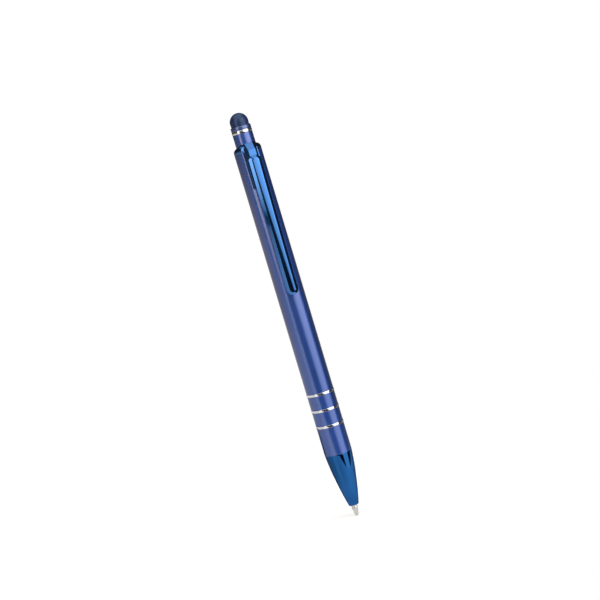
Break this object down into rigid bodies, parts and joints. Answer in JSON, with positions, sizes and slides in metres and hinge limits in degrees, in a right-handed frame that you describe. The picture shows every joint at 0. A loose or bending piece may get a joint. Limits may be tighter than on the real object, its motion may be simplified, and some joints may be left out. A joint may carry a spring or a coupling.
{
  "type": "stylus pen",
  "caption": "Push-action ball pen with a rounded rubber stylus dome on its button, a satin barrel with bright trim rings, a gloss pocket clip and an ogive nose, shown point out.",
  "frame": {"origin": "lowest point of the writing ball with the point out", "axes": "+Z along the pen's axis from the writing ball to the stylus dome, -Y towards the pocket clip"},
  "size_m": [0.0096, 0.0125, 0.1414],
  "materials": {
    "satin_blue": "satin blue anodised",
    "gloss_blue": "gloss blue lacquer",
    "bright_trim": "polished bright plating",
    "stylus_rubber": "smooth dark conductive rubber",
    "nickel_silver": "turned nickel silver",
    "steel": "drawn bright steel",
    "brass": "turned brass",
    "pale_plastic": "moulded pale plastic",
    "dark_plastic": "moulded dark plastic",
    "clear_tube": "clear extruded plastic",
    "ink": "dark blue ink"
  },
  "bodies": {
    "barrel": {"barrel": "satin_blue", "upper_ring": "bright_trim", "middle_ring": "bright_trim", "lower_ring": "bright_trim", "barrel_insert": "brass", "nose_cone": "gloss_blue", "collar": "gloss_blue", "cam_guide": "pale_plastic", "return_spring": "steel"},
    "button": {"plunger_sleeve": "satin_blue", "plunger_ring": "bright_trim", "stylus_ferrule": "satin_blue", "stylus_dome": "stylus_rubber", "stylus_stem": "steel", "pusher": "pale_plastic"},
    "refill": {"refill_tube": "clear_tube", "ink_column": "ink", "refill_plug": "pale_plastic", "refill_point": "nickel_silver"},
    "cam": {"rotor": "dark_plastic"},
    "ball": {"writing_ball": "steel"},
    "clip": {"clip_arm": "gloss_blue"}
  },
  "joints": [
    {"name": "button_slide", "type": "slide", "parent": "barrel", "child": "button", "axis": [0, 0, 1], "range_m": [-0.0012, 0.005], "deforming": ["return_spring"]},
    {"name": "refill_slide", "type": "slide", "parent": "barrel", "child": "refill", "axis": [0, 0, 1], "range_m": [-0.0012, 0.005]},
    {"name": "cam_turn", "type": "hinge", "parent": "refill", "child": "cam", "pos_m": [0, 0, 0.109], "axis": [0, 0, 1], "continuous": true},
    {"name": "ball_roll", "type": "hinge", "parent": "refill", "child": "ball", "pos_m": [0, 0, 0.0005], "axis": [1, 0, 0], "continuous": true},
    {"name": "clip_flex", "type": "hinge", "parent": "barrel", "child": "clip", "pos_m": [0, -0.0066, 0.12676], "axis": [-1, 0, 0], "range_deg": [0, 3.5], "stiffness_Nm_per_rad": 8}
  ],
  "couplings": [
    {"joint": "refill_slide", "follows": "button_slide", "ratio": 1}
  ]
}
